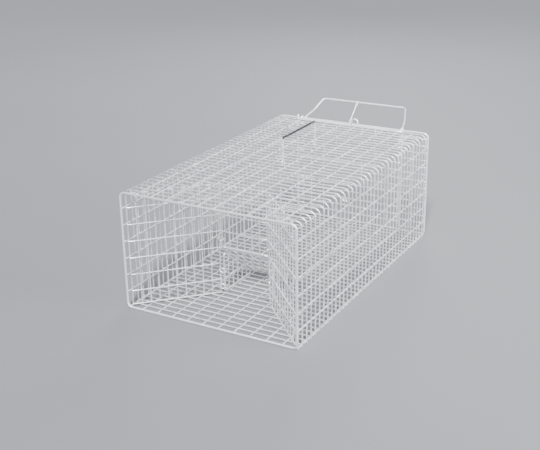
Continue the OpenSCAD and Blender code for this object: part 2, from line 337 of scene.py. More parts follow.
@dataclass(frozen=True)
class ZincFinish:
    """Galvanised steel wire with spangle, dull patches, scorched welds and dust by the ground."""

    name: str
    bright: Colour = (0.95, 0.96, 0.975)
    dull: Colour = (0.50, 0.52, 0.55)
    scorch: Colour = (0.34, 0.34, 0.345)
    oxide: Colour = (0.80, 0.81, 0.81)
    dust: Colour = (0.33, 0.30, 0.26)
    roughness: float = 0.45
    metallic: float = 0.79
    spangle: float = 420.0
    spangle_share: float = 0.55
    oxide_share: float = 0.35
    relief: float = 0.30
    relief_height: float = 0.00012
    cloud_scale: float = 46.0
    grain_scale: float = 1900.0
    patch_scale: float = 120.0
    dust_scale: float = 300.0
    dust_fade: float = 55.0
    dust_share: float = 0.45

    def make(self) -> bpy.types.Material:
        """Builds the material.

        Returns:
            The material.
        """
        shader = Shader(self.name)
        cell, edge = shader.crystals(self.spangle)
        cloud = shader.noise(self.cloud_scale, 4.0, 0.6)
        grain = shader.noise(self.grain_scale, 3.0)
        weld = shader.layer("weld")
        tone = shader.layer("tone")
        lit = (
            0.58 + (cloud - 0.5) * 2.2 + (cell - 0.5) * self.spangle_share + tone * 0.26
        ).limited()
        blotch = shader.noise(self.patch_scale, 5.0, 0.7)
        patch = ((blotch - 0.56) * 9.0).limited() * self.oxide_share
        near = (1.0 - shader.height() * self.dust_fade).limited()
        dust = (near * shader.noise(self.dust_scale, 3.0)) * self.dust_share
        metal = shader.blend(lit, self.dull, self.bright)
        aged = shader.blend(patch, metal, self.oxide)
        burnt = shader.blend((weld * (0.35 + grain * 0.6)).limited(), aged, self.scorch)
        shader.dress(
            {
                "Base Color": shader.blend(dust, burnt, self.dust),
                "Metallic": (
                    self.metallic + lit * 0.12 - patch * 0.6 - dust * 0.5 - weld * 0.1
                ).limited(),
                "Roughness": (
                    self.roughness
                    + (0.5 - lit) * 0.16
                    + weld * 0.16
                    + patch * 0.5
                    + dust * 0.4
                    + (grain - 0.5) * 0.10
                ).limited(),
            }
        )
        shader.relief(
            grain * 0.5 + edge * 0.25 + cell * 0.25, self.relief, self.relief_height
        )
        return shader.material


@dataclass(frozen=True)
class RackFinish:
    """Wire with painted shade above the roof, near black with lighter patches in it, and bright
    zinc below it.
    """

    name: str
    roof: float
    # Painted shade: near black for the wire above the roof, with a lighter grey for patches in
    # it.
    dark: Colour = (0.010, 0.010, 0.012)
    lighter_shade: Colour = (0.16, 0.16, 0.165)
    bright: Colour = (0.95, 0.96, 0.97)
    dull: Colour = (0.78, 0.80, 0.82)
    metallic: float = 0.40
    roughness: float = 0.40
    # Where the painted shade starts below the roof, and how sharply it fades in, per metre.
    shade_depth: float = 0.0012
    shade_edge: float = 900.0
    cloud_scale: float = 70.0
    grain_scale: float = 1500.0
    # Size of the lighter patches in the painted shade.
    shade_break_scale: float = 260.0
    relief: float = 0.3
    relief_height: float = 0.0001

    def make(self) -> bpy.types.Material:
        """Builds the material.

        Returns:
            The material.
        """
        shader = Shader(self.name)
        cloud = shader.noise(self.cloud_scale, 4.0, 0.6)
        grain = shader.noise(self.grain_scale, 3.0)
        # Painted shade: above the roof the wire is coloured near black, broken by lighter patches
        # from noise.
        start = self.roof - self.shade_depth
        above = ((shader.height() - start) * self.shade_edge).limited()
        shade_breaks = ((shader.noise(self.shade_break_scale, 4.0, 0.65) - 0.60) * 10.0).limited() * 0.8
        zinc = shader.blend(cloud, self.dull, self.bright)
        painted_shade_colour = shader.blend(shade_breaks, self.dark, self.lighter_shade)
        shader.dress(
            {
                "Base Color": shader.blend(above, zinc, painted_shade_colour),
                "Metallic": (self.metallic - above * (1.0 - shade_breaks) * 0.1).limited(),
                "Roughness": (
                    self.roughness + above * 0.08 + (grain - 0.5) * 0.16 - shade_breaks * 0.08
                ).limited(),
            }
        )
        shader.relief(grain * 0.7 + shade_breaks * 0.3, self.relief, self.relief_height)
        return shader.material


@dataclass(frozen=True)
class GroundFinish:
    """Plain pale ground with a very faint cloudiness."""

    name: str
    pale: Colour = (0.150, 0.156, 0.168)
    deep: Colour = (0.140, 0.146, 0.157)
    roughness: float = 0.62

    def make(self) -> bpy.types.Material:
        """Builds the material.

        Returns:
            The material.
        """
        shader = Shader(self.name)
        cloud = shader.noise(3.0, 3.0)
        shader.dress(
            {
                "Base Color": shader.blend(cloud, self.deep, self.pale),
                "Roughness": self.roughness + cloud * 0.1,
            }
        )
        return shader.material


# ----------------------------------------------------------------- wire making


def arc(
    before: Vector, corner: Vector, after: Vector, radius: float, room: float
) -> list[Vector]:
    """Points of the bend at one corner of a wire.

    Args:
        before: The point before the corner.
        corner: The corner.
        after: The point after it.
        radius: Bend radius, to the wire's middle.
        room: Longest stretch of a leg that the bend may take up.

    Returns:
        Points from the bend's start to its end.
    """
    back = (before - corner).normalized()
    ahead = (after - corner).normalized()
    opening = back.angle(ahead)
    if opening > STRAIGHT:
        return [corner]
    radius = min(radius, room * math.tan(opening / 2))
    middle = corner + (back + ahead).normalized() * radius / math.sin(opening / 2)
    first = corner + back * radius / math.tan(opening / 2) - middle
    turn = math.pi - opening
    steps = max(2, math.ceil(math.degrees(turn) / BEND_STEP))
    axis = back.cross(ahead).normalized()
    return [middle + Quaternion(axis, -turn * i / steps) @ first for i in range(steps + 1)]


def bent(
    corners: Sequence[Vector], radius: float, closed: bool = False, step: float = 9 * MM
) -> list[Vector]:
    """Path of a wire with rounded corners.

    Args:
        corners: Its corners, and for an open wire its two ends.
        radius: Bend radius, to the wire's middle.
        closed: Whether the wire runs back to its first corner.
        step: Longest stretch between two points of a straight run.

    Returns:
        The path's points.
    """
    count = len(corners)
    rough: list[Vector] = []
    for i, corner in enumerate(corners):
        if closed or 0 < i < count - 1:
            before, after = corners[i - 1], corners[(i + 1) % count]
            legs = [
                (before - corner).length * (1.0 if i == 1 and not closed else 0.5),
                (after - corner).length * (1.0 if i == count - 2 and not closed else 0.5),
            ]
            rough += arc(before, corner, after, radius, 0.99 * min(legs))
        else:
            rough.append(corner.copy())
    path: list[Vector] = []
    last = len(rough) if closed else len(rough) - 1
    for i in range(last):
        first, second = rough[i], rough[(i + 1) % len(rough)]
        cuts = max(1, math.ceil((second - first).length / step))
        path += [first.lerp(second, k / cuts) for k in range(cuts)]
    return path if closed else path + [rough[-1]]


def wound(
    middle: Vector, axis: Axis, radius: float, start: float, sweep: float, climb: float
) -> list[Vector]:
    """Path of a coil.

    Args:
        middle: Middle of the coil.
        axis: What it is wound round.
        radius: Radius to the wire's middle.
        start: Angle that it starts at, in degrees.
        sweep: Angle that it runs through, in degrees.
        climb: How far it moves along its axis.

    Returns:
        The path's points.
    """
    along = Vector(axis.value)
    side = Vector(Axis.Z.value) if axis is not Axis.Z else Vector(Axis.X.value)
    steps = max(6, math.ceil(abs(sweep) / COIL_STEP))
    path = []
    for i in range(steps + 1):
        share = i / steps
        turn = Quaternion(along, math.radians(start + sweep * share))
        path.append(middle + turn @ (side * radius) + along * climb * (share - 0.5))
    return path


def sections(points: Sequence[Vector], closed: bool) -> list[Matrix]:
    """Places a cross-section square to a path at each of its points, without twist.

    Args:
        points: The path.
        closed: Whether it runs back to its start.

    Returns:
        One matrix for each point, with Z along the path.
    """
    count = len(points)
    placed: list[Matrix] = []
    across = Vector()
    heading = Vector()
    for i, point in enumerate(points):
        before = points[i - 1] if closed or i else point
        after = points[(i + 1) % count] if closed or i < count - 1 else point
        tangent = (after - before).normalized()
        across = heading.rotation_difference(tangent) @ across if i else tangent.orthogonal()
        across = (across - tangent * across.dot(tangent)).normalized()
        turned = Matrix((across, tangent.cross(across), tangent)).transposed().to_4x4()
        placed.append(Matrix.Translation(point) @ turned)
        heading = tangent
    return placed


def drawn(
    points: Sequence[Vector], diameter: float, sides: int, ends: Ends
) -> bpy.types.Mesh:
    """Draws a round wire along a path, by extruding its cross-section.

    Args:
        points: The path of the wire's middle.
        diameter: Thickness of the wire.
        sides: Flats round the wire.
        ends: How its ends are finished.

    Returns:
        A closed mesh.
    """
    closed = ends is Ends.JOINED
    stations = [(place, 1.0) for place in sections(points, closed)]
    if not closed:
        start = Ends.CUT if ends is Ends.POINTED else ends
        first, last = stations[0][0], stations[-1][0]
        inward = Matrix.Translation((0, 0, diameter * start.value[0]))
        outward = Matrix.Translation((0, 0, -diameter * ends.value[0]))
        stations[0:1] = [(first, start.value[1]), (first @ inward, 1.0)]
        stations[-1:] = [(last @ outward, 1.0), (last, ends.value[1])]
    shape = bmesh.new()
    ring = bmesh.ops.create_circle(shape, segments=sides, radius=diameter / 2)["verts"]
    edges = shape.edges[:]
    opening = edges
    stood = Matrix.Identity(4)
    for i, (place, scale) in enumerate(stations):
        if i:
            grown = bmesh.ops.extrude_edge_only(shape, edges=edges)["geom"]
            ring = [part for part in grown if isinstance(part, bmesh.types.BMVert)]
            fresh = set(ring)
            edges = [
                part
                for part in grown
                if isinstance(part, bmesh.types.BMEdge) and fresh.issuperset(part.verts)
            ]
        target = place @ Matrix.Scale(scale, 4)
        bmesh.ops.transform(shape, matrix=target @ stood.inverted(), verts=ring)
        stood = target
    if closed:
        bmesh.ops.bridge_loops(shape, edges=opening + edges)
    else:
        bmesh.ops.edgeloop_fill(shape, edges=opening)
        bmesh.ops.edgeloop_fill(shape, edges=edges)
    bmesh.ops.recalc_face_normals(shape, faces=shape.faces[:])
    mesh = bpy.data.meshes.new("wire")
    shape.to_mesh(mesh)
    shape.free()
    return mesh


def straight(length: float, diameter: float, sides: int, ends: Ends) -> bpy.types.Mesh:
    """A straight wire from the origin along Y."""
    return drawn(bent([Vector(), Vector((0, length, 0))], 0), diameter, sides, ends)


def nugget() -> bpy.types.Mesh:
    """A rounded lump, which is scaled down to each weld.

    Returns:
        A ball of one metre radius.
    """
    shape = bmesh.new()
    bmesh.ops.create_icosphere(shape, subdivisions=1, radius=1.0)
    mesh = bpy.data.meshes.new("nugget")
    shape.to_mesh(mesh)
    shape.free()
    return mesh


def tone_of(key: int) -> float:
    """Brightness of one wire among its neighbours, from -1 to 1."""
    return random.Random(key * 7919 + 17).uniform(-1, 1)


class Bundle:
    """Many wires and welds that end up as the mesh of one piece."""

    def __init__(self, seed: int) -> None:
        """Starts an empty piece with its own random draws.

        Args:
            seed: Start of the draws.
        """
        self.shape = bmesh.new()
        self.shape.verts.layers.float.new("tone")
        self.shape.verts.layers.float.new("weld")
        self.draw = random.Random(seed)
        self.lump = nugget()

    def add(
        self, mesh: bpy.types.Mesh, place: Matrix, tone: float | None = None, weld: float = 0.0
    ) -> None:
        """Copies a shape into the piece.

        Args:
            mesh: The shape.
            place: Where it goes.
            tone: Its brightness among its neighbours, or None for a drawn one.
            weld: How far it is scorched, from 0 to 1.
        """
        copy = mesh.copy()
        copy.transform(place)
        if place.determinant() < 0:
            copy.flip_normals()
        start = len(self.shape.verts)
        self.shape.from_mesh(copy)
        bpy.data.meshes.remove(copy)
        self.shape.verts.ensure_lookup_table()
        shade = self.draw.uniform(-1, 1) if tone is None else tone
        tones = self.shape.verts.layers.float["tone"]
        welds = self.shape.verts.layers.float["weld"]
        for vert in self.shape.verts[start:]:
            vert[tones] = shade
            vert[welds] = weld

    def wire(
        self,
        points: Sequence[Vector],
        diameter: float,
        sides: int = ROD_FLATS,
        ends: Ends = Ends.CUT,
        place: Matrix = HERE,
        tone: float | None = None,
    ) -> None:
        """Draws one wire into the piece.

        Args:
            points: The path of its middle.
            diameter: Its thickness.
            sides: Flats round it.
            ends: How its ends are finished.
            place: Where the path goes.
            tone: Its brightness among its neighbours, or None for a drawn one.
        """
        mesh = drawn(points, diameter, sides, ends)
        self.add(mesh, place, tone)
        bpy.data.meshes.remove(mesh)

    def weld(self, point: Vector, lump: Lump, place: Matrix = HERE) -> None:
        """Adds the lump of one weld.

        Args:
            point: Middle of the weld, before the matrix.
            lump: What kind of weld it is.
            place: The matrix of the sheet or wire that it is on.
        """
        swell = self.draw.uniform(*WELD_SWELL)
        turn = Matrix.Rotation(self.draw.uniform(0, math.tau), 4, "Z")
        scaled = Matrix.Diagonal((*(Vector(lump.value) * MM * swell), 1.0))
        self.add(self.lump, place @ Matrix.Translation(point) @ scaled @ turn, weld=1.0)

    def sway(self, reach: Sizes) -> None:
        """Bends all wires a little, by one slow field over the whole trap.

        Args:
            reach: Largest shift along each axis, in millimetres.
        """
        limits = Vector(reach) * MM
        for vert in self.shape.verts:
            slow = noise.noise_vector(vert.co * 17.0)
            quick = noise.noise_vector(vert.co * 55.0 + Vector((4.0, 9.0, 2.0)))
            vert.co += Vector(r * (0.72 * a + 0.28 * b) for r, a, b in zip(limits, slow, quick))

    def finish(
        self,
        name: str,
        body: str,
        stands_for: Iterable[str],
        slot: str,
        material: bpy.types.Material,
    ) -> bpy.types.Object:
        """Turns the bundle into a piece of the trap.

        Args:
            name: The piece's name.
            body: The body that it moves with.
            stands_for: The solids that it is shown in place of.
            slot: The material slot of the record; not used.
            material: Its finish.

        Returns:
            The piece.
        """
        for face in self.shape.faces:
            face.smooth = len(face.verts) < 5
        mesh = bpy.data.meshes.new(name)
        self.shape.to_mesh(mesh)
        self.shape.free()
        bpy.data.meshes.remove(self.lump)
        mesh.materials.append(material)
        piece = bpy.data.objects.new(name, mesh)
        bpy.context.scene.collection.objects.link(piece)
        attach(piece, body)
        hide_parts(*stands_for)
        LOG.info("%s: %d faces, rides on %s", name, len(mesh.polygons), body)
        return piece


# ---------------------------------------------------------------- sizes and sheets


@dataclass(frozen=True)
class Gauge:
    """Wire sizes of the trap and the stations that its pieces share, in metres."""

    wire: float = MESH_WIRE
    weld: float = 0.3 * MM
    frame: float = 2.4 * MM
    bend: float = 7 * MM
    fine_pitch: float = 10 * MM
    wide_pitch: float = 20 * MM
    cells_along: int = 35
    front: float = field(default_factory=lambda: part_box("front_frame")[0].y)
    rear: float = field(default_factory=lambda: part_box("rear_frame")[1].y)
    half: float = field(default_factory=lambda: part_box("front_frame")[1].x)
    height: float = field(default_factory=lambda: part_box("front_frame")[1].z)
    last: float = field(default_factory=lambda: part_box("top_mesh")[1].y - MESH_WIRE / 2)

    @property
    def layers(self) -> float:
        """Thickness of a mesh, two layers sunk together."""
        return 2 * self.wire - self.weld

    @property
    def tuck(self) -> float:
        """How far in from a frame wire's outer side the mesh wires end."""
        return 0.6 * self.frame

    @property
    def front_mid(self) -> float:
        """Middle of the front frame wire."""
        return self.front + self.frame / 2

    @property
    def rear_mid(self) -> float:
        """Middle of the rear frame wire."""
        return self.rear - self.frame / 2

    @property
    def along(self) -> list[float]:
        """Stations of the closely set wires along the trap."""
        pitch = (self.last - self.front_mid) / self.cells_along
        return [self.front_mid + pitch * (i + 1) for i in range(self.cells_along)]

    @property
    def across(self) -> list[float]:
        """Stations of the widely set wires across the trap."""
        count = round(2 * self.half / self.wide_pitch)
        return [-self.half + (i + 1) * 2 * self.half / count for i in range(count - 1)]

    @property
    def rows(self) -> list[float]:
        """Heights of the widely set wires up the trap."""
        count = round(self.height / self.wide_pitch)
        return [(i + 1) * self.height / count for i in range(count - 1)]


@dataclass
class Sheet:
    """A flat welded mesh: wires along Y, wires along X on them, and a weld at each crossing."""

    gauge: Gauge
    columns: Sequence[float]
    rungs: Sequence[float]
    width: tuple[float, float]
    depth: tuple[float, float]

    @property
    def low(self) -> float:
        """Height of the middle of the lower wires."""
        return self.gauge.wire / 2

    @property
    def high(self) -> float:
        """Height of the middle of the upper wires."""
        return self.gauge.wire * 1.5 - self.gauge.weld

    def build(self, bundle: Bundle, place: Matrix, rungs: bool = True) -> None:
        """Adds the sheet to a piece.

        Args:
            bundle: The piece.
            place: Where the sheet goes.
            rungs: Whether the wires along X are drawn, and not only their welds.
        """
        gauge = self.gauge
        column = straight(self.depth[1] - self.depth[0], gauge.wire, MESH_FLATS, Ends.CUT)
        for x in self.columns:
            bundle.add(column, place @ Matrix.Translation((x, self.depth[0], self.low)))
        bpy.data.meshes.remove(column)
        if rungs:
            rung = straight(self.width[1] - self.width[0], gauge.wire, MESH_FLATS, Ends.CUT)
            quarter = Matrix.Rotation(-math.pi / 2, 4, "Z")
            for y in self.rungs:
                spot = Matrix.Translation((self.width[0], y, self.high))
                bundle.add(rung, place @ spot @ quarter)
            bpy.data.meshes.remove(rung)
        middle = (self.low + self.high) / 2
        for x in self.columns:
            for y in self.rungs:
                bundle.weld(Vector((x, y, middle)), Lump.CROSSING, place)


def turned(x: float, z: float) -> Matrix:
    """A turn about X and then about Z, in degrees."""
    about_z = Matrix.Rotation(math.radians(z), 4, "Z")
    return about_z @ Matrix.Rotation(math.radians(x), 4, "X")


def spread(low: float, high: float, count: int) -> list[float]:
    """Evenly spaced stations from low to high, with both ends."""
    return [low + (high - low) * i / count for i in range(count + 1)]


def mirrored(side: int) -> Matrix:
    """Nothing for the right side, or the mirror in the middle plane for the left."""
    return Matrix.Diagonal((side, 1, 1, 1))


# ---------------------------------------------------------------- sub-assemblies


@dataclass
class Cage:
    """Roof, walls and floor of welded mesh, and the thick wire round each end."""

    gauge: Gauge
    mesh_finish: bpy.types.Material
    frame_finish: bpy.types.Material
    sway: Sizes = (0.16, 0.30, 0.16)
    floor_sway: Sizes = (0.25, 0.35, 0.0)
    lift: float = 0.1 * MM
    lowest_weld: float = 0.95 * MM
    lowest_edge_weld: float = 1.4 * MM
    seam: float = 0.31

    def build(self) -> None:
        """Builds all pieces of the cage."""
        self.roof()
        for side, name in SIDES:
            self.wall(side, name)
        self.floor()
        self.end("front_loop", "front_frame", self.gauge.front_mid)
        self.end("rear_loop", "rear_frame", self.gauge.rear_mid)

    def roof(self) -> None:
        """Cross wires that run down round both bends, on wires along the roof."""
        g = self.gauge
        bundle = Bundle(Draws.ROOF)
        reach = g.half - g.wire / 2
        shoulder = g.height - g.bend
        top = g.height - g.wire / 2
        hoop = drawn(
            bent(
                [Vector((-reach, 0, shoulder)), Vector((-reach, 0, top))]
                + [Vector((reach, 0, top)), Vector((reach, 0, shoulder))],
                g.bend - g.wire / 2,
            ),
            g.wire,
            MESH_FLATS,
            Ends.FLUSH,
        )
        for i, y in enumerate(g.along):
            bundle.add(hoop, Matrix.Translation((0, y, 0)), tone_of(i))
        bpy.data.meshes.remove(hoop)
        start = g.front + g.tuck
        sheet = Sheet(g, g.across, g.along, (-reach, reach), (start, g.last + g.wire / 2))
        sheet.build(bundle, Matrix.Translation((0, 0, g.height - g.layers)), rungs=False)
        for x in g.across:
            seat = Vector((x, g.front_mid + 0.6 * MM, g.height - g.layers + g.wire / 2))
            bundle.weld(seat, Lump.ROOF_EDGE)
        bundle.sway(self.sway)
        bundle.finish("roof_mesh", "cage", ["top_mesh"], "mesh_wire", self.mesh_finish)

    def wall(self, side: int, name: str) -> None:
        """Upright wires that carry on the roof's, and wires along inside them.

        Args:
            side: 1 for the right wall and -1 for the left one.
            name: The side's name.
        """
        g = self.gauge
        bundle = Bundle(Draws.WALL + side)
        outer = g.half - g.wire / 2
        inner = g.half - g.layers + g.wire / 2
        upright = drawn(
            bent([Vector((0, 0, self.lift)), Vector((0, 0, g.height - g.bend))], 0),
            g.wire,
            MESH_FLATS,
            Ends.FLUSH,
        )
        for i, y in enumerate(g.along):
            bundle.add(upright, Matrix.Translation((side * outer, y, 0)), tone_of(i))
        bpy.data.meshes.remove(upright)
        length = g.rear - g.front - 2 * g.tuck
        rail = straight(length, g.wire, MESH_FLATS, Ends.CUT)
        edge = g.half - g.frame / 2 - 0.5 * MM
        for z in (g.wire / 2, *g.rows):
            spot = Vector((side * inner, g.front + g.tuck, z))
            bundle.add(rail, Matrix.Translation(spot))
            for y in g.along:
                middle = Vector((side * (outer + inner) / 2, y, max(z, self.lowest_weld)))
                bundle.weld(middle, Lump.WALL)
            for y in (g.front_mid, g.rear_mid):
                middle = Vector((side * edge, y, max(z, self.lowest_edge_weld)))
                bundle.weld(middle, Lump.WALL_EDGE)
        bpy.data.meshes.remove(rail)
        bundle.sway((self.sway[0], self.sway[1], 0.0))
        bundle.finish(
            f"{name}_wall_mesh", "cage", [f"{name}_side_mesh"], "mesh_wire", self.mesh_finish
        )

    def floor(self) -> None:
        """Wires along underneath, and wires across on top of them."""
        g = self.gauge
        bundle = Bundle(Draws.FLOOR)
        half = g.half - g.layers
        edge = half - g.wire / 2
        sheet = Sheet(
            g,
            [-edge, *g.across, edge],
            g.along,
            (-half, half),
            (g.front + g.tuck, g.rear - g.tuck),
        )
        sheet.build(bundle, HERE)
        for x in g.across:
            for y in (g.front_mid + 0.5 * MM, g.rear_mid - 0.5 * MM):
                bundle.weld(Vector((x, y, 1.1 * MM)), Lump.FLOOR_EDGE)
        bundle.sway(self.floor_sway)
        bundle.finish("floor_panel", "cage", ["floor_mesh"], "mesh_wire", self.mesh_finish)

    def end(self, name: str, node: str, y: float) -> None:
        """One thick wire loop with its butt weld.

        Args:
            name: The piece's name.
            node: The solid that it stands for.
            y: Its station.
        """
        g = self.gauge
        bundle = Bundle(Draws.FRAME)
        half = g.half - g.frame / 2
        low, high = g.frame / 2, g.height - g.frame / 2
        corners = [(half, low), (half, high), (-half, high), (-half, low)]
        path = bent([Vector((x, y, z)) for x, z in corners], g.bend - g.frame / 2, closed=True)
        bundle.wire(path, g.frame, FRAME_FLATS, Ends.JOINED)
        bundle.weld(Vector((self.seam * half, y, low)), Lump.FRAME_SEAM)
        bundle.finish(name, "cage", [node], "frame_wire", self.frame_finish)


@dataclass
class Funnel:
    """Two slanting wings, the panel and rod over the low passage, and its two cheeks."""

    gauge: Gauge
    throat: Vector
    tilt: float
    mesh_finish: bpy.types.Material
    frame_finish: bpy.types.Material
    width: float = 60 * MM
    rod: float = 2.4 * MM
    edge: float = 2 * MM
    inset: float = 2.3 * MM
    cheek_bend: float = 2.2 * MM
    wing_cells: int = 10
    panel_cells: int = 6
    wing_sway: Sizes = (0.3, 0.3, 0.15)
    panel_sway: Sizes = (0.15, 0.15, 0.1)

    def build(self) -> None:
        """Builds all pieces of the funnel."""
        for side, name in SIDES:
            self.wing(side, name)
            self.cheek(side, name)
        self.panel()
        self.hinge_rod()

    def wing(self, side: int, name: str) -> None:
        """One slanting wall, from the front corner to the passage.

        Args:
            side: 1 for the right wing and -1 for the left one.
            name: The side's name.
        """
        g = self.gauge
        bundle = Bundle(Draws.WING + side)
        start = Vector((g.half - g.layers - self.inset, g.front + g.frame + self.inset))
        end = Vector((self.width / 2 + 1.6 * MM, self.throat.y - 1.2 * MM))
        length = (start - end).length
        turn = math.degrees(math.atan2(end.y - start.y, start.x - end.x))
        tall = g.height - 2 * g.layers
        columns = spread(g.wire / 2, length - g.wire / 2, self.wing_cells)
        rungs = [g.wire / 2, *(z - g.layers for z in g.rows), tall - g.wire / 2]
        place = Matrix.Translation((end.x, end.y, g.layers)) @ turned(90, -turn)
        sheet = Sheet(g, columns, rungs, (0, length), (0, tall))
        sheet.build(bundle, mirrored(side) @ place @ Matrix.Translation((0, 0, -g.layers / 2)))
        bundle.sway(self.wing_sway)
        bundle.finish(
            f"{name}_funnel_wall", "cage", [f"{name}_wing"], "mesh_wire", self.mesh_finish
        )

    def panel(self) -> None:
        """The upright panel that closes the funnel above the passage."""
        g = self.gauge
        bundle = Bundle(Draws.PANEL)
        low = self.throat.z + self.rod / 2
        high = g.height - g.layers
        half = self.width / 2
        columns = spread(-half + g.wire / 2, half - g.wire / 2, self.panel_cells)
        rungs = [z for z in g.rows if low + 8 * MM < z < high - 6 * MM] + [high - g.wire / 2]
        place = Matrix.Translation((0, self.throat.y + g.wire / 2, 0)) @ turned(90, 0)
        Sheet(g, columns, rungs, (-half, half), (low - 0.3 * MM, high)).build(bundle, place)
        bundle.sway(self.panel_sway)
        bundle.finish("passage_panel", "cage", ["throat_panel"], "mesh_wire", self.mesh_finish)

    def hinge_rod(self) -> None:
        """The rod that the flap hangs from, welded to the panel's wires."""
        bundle = Bundle(Draws.HINGE_ROD)
        half = self.width / 2
        ends = [Vector((x, self.throat.y, self.throat.z)) for x in (-half, half)]
        bundle.wire(bent(ends, 0), self.rod, FRAME_FLATS)
        inner = half - self.gauge.wire / 2
        for x in spread(-inner, inner, self.panel_cells):
            bundle.weld(Vector((x, self.throat.y, self.throat.z + self.rod / 2)), Lump.HINGE_ROD)
        bundle.finish("hinge_rod", "cage", ["throat_rod"], "frame_wire", self.frame_finish)

    def cheek(self, side: int, name: str) -> None:
        """One three-cornered side of the low passage.

        Args:
            side: 1 for the right cheek and -1 for the left one.
            name: The side's name.
        """
        g = self.gauge
        bundle = Bundle(Draws.CHEEK + side)
        low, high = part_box(f"{name}_cheek")
        slope = math.tan(self.tilt)
        half = self.edge / 2
        sunk = half / math.cos(self.tilt)
        x = side * (abs(low.x) + abs(high.x)) / 2
        front, bottom = low.y + half, low.z + half
        top = high.z - half * slope - sunk
        back = front + (top - bottom) / slope
        corners = [Vector((x, front, bottom)), Vector((x, back, bottom)), Vector((x, front, top))]
        path = bent(corners, self.cheek_bend, closed=True)
        bundle.wire(path, self.edge, RING_FLATS, Ends.JOINED)
        uprights = [front - half + g.fine_pitch * (i + 1) for i in range(5)]
        for y in uprights:
            run = [Vector((x, y, bottom)), Vector((x, y, top - (y - front) * slope))]
            bundle.wire(bent(run, 0), g.wire, MESH_FLATS)
            for spot in run:
                bundle.weld(spot, Lump.CHEEK_EDGE)
        for z in (g.wide_pitch, 2 * g.wide_pitch):
            end = front + (top - z) / slope
            run = [Vector((x, front, z)), Vector((x, end, z))]
            bundle.wire(bent(run, 0), g.wire, MESH_FLATS)
            for y in [front, end, *(u for u in uprights if u < end)]:
                bundle.weld(Vector((x, y, z)), Lump.CHEEK_ROW)
        bundle.finish(
            f"{name}_passage_side", "cage", [f"{name}_cheek"], "mesh_wire", self.mesh_finish
        )


@dataclass
class RearWall:
    """Fixed strips beside the door, and the rods that guide it."""

    gauge: Gauge
    mesh_finish: bpy.types.Material
    frame_finish: bpy.types.Material
    rod: float = 2 * MM
    lap: float = 0.8 * MM
    cells_across: int = 2
    cells_up: int = 13
    weld_inset: float = 0.9 * MM
    sway: Sizes = (0.12, 0.08, 0.12)

    def build(self) -> None:
        """Builds the strips and the rods."""
        for side, name in SIDES:
            self.strip(side, name)
        self.guides()

    def strip(self, side: int, name: str) -> None:
        """One fixed strip of the rear wall.

        Args:
            side: 1 for the right strip and -1 for the left one.
            name: The side's name.
        """
        g = self.gauge
        bundle = Bundle(Draws.STRIP + side)
        low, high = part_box("rear_right_mesh")
        columns = spread(low.x + g.wire / 2, high.x - g.wire / 2, self.cells_across)
        rungs = spread(low.z + g.wire / 2, high.z - g.wire / 2, self.cells_up)
        place = Matrix.Translation((0, g.rear_mid + g.wire / 2, 0)) @ turned(90, 0)
        sheet = Sheet(g, columns, rungs, (low.x, high.x + self.lap), (low.z - self.lap, high.z))
        sheet.build(bundle, mirrored(side) @ place)
        bundle.sway(self.sway)
        bundle.finish(
            f"rear_{name}_strip", "cage", [f"rear_{name}_mesh"], "mesh_wire", self.mesh_finish
        )

    def guides(self) -> None:
        """The two upright rods, welded to the last wires of roof and floor."""
        bundle = Bundle(Draws.GUIDES)
        low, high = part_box("door_guides")
        y = (low.y + high.y) / 2
        for side in (-1, 1):
            x = side * (high.x - self.rod / 2)
            bundle.wire(bent([Vector((x, y, low.z)), Vector((x, y, high.z))], 0), self.rod)
            for z in (low.z + self.weld_inset, high.z - self.weld_inset):
                bundle.weld(Vector((x, y - self.rod / 2, z)), Lump.GUIDE_END)
        bundle.finish(
            "door_guide_rods", "cage", ["door_guides"], "frame_wire", self.frame_finish
        )


@dataclass
class Rings:
    """Clinched rings: each a round wire bent shut, with its two cut ends lapped side by side."""

    finish: bpy.types.Material
    wire: float = 1.5 * MM
    wing_room: float = 3.1 * MM
    cheek_room: float = 4.1 * MM
    sweep: float = 372
    climb: float = 1.02

    def group(
        self,
        name: str,
        node: str,
        body: str,
        middles: Sequence[Vector],
        axis: Axis,
        radius: float,
    ) -> None:
        """Builds the rings of one kind.

        Args:
            name: The piece's name.
            node: The solids that it stands for.
            body: The body that they move with.
            middles: Middle of each ring.
            axis: What the rings are wound round.
            radius: Radius to the wire's middle.
        """
        bundle = Bundle(Draws.RINGS)
        for i, middle in enumerate(middles):
            start = 360 * random.Random(i + 5).random()
            path = wound(middle, axis, radius, start, self.sweep, self.wire * self.climb)
            bundle.wire(path, self.wire, RING_FLATS)
        bundle.finish(name, body, [node], "clinch_ring", self.finish)

    def build(self, gauge: Gauge, throat: Vector, tilt: float) -> None:
        """Builds the rings of the funnel, the walls and the flap.

        Args:
            gauge: The trap's sizes.
            throat: Middle of the flap's rod; not used.
            tilt: The flap's tilt, in radians; not used.
        """
        half = self.wire / 2
        for kind, room in (("wing", self.wing_room), ("cheek", self.cheek_room)):
            low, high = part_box(f"{kind}_rings")
            x, y = high.x - room - 2 * half, (low.y + high.y) / 2
            levels = (low.z + half, high.z - half)
            middles = [Vector((s * x, y, z)) for s in (-1, 1) for z in levels]
            name = f"{kind}_clinch_rings"
            self.group(name, f"{kind}_rings", "cage", middles, Axis.Z, room + half)
        low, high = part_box("side_rings")
        x, y, z = gauge.half - gauge.layers / 2, (low.y + high.y) / 2, (low.z + high.z) / 2
        middles = [Vector((s * x, y, z)) for s in (-1, 1)]
        radius = (high.y - low.y) / 2 - half
        self.group("wall_clinch_rings", "side_rings", "cage", middles, Axis.Z, radius)
        low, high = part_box("flap_rings")
        x = high.x - half
        radius = (high.z - low.z) / 2 - half
        y, z = (low.y + high.y) / 2, (low.z + high.z) / 2
        middles = [Vector((s * x, y, z)) for s in (-1, 1)]
        self.group("flap_clinch_rings", "flap_rings", "one_way_flap", middles, Axis.X, radius)


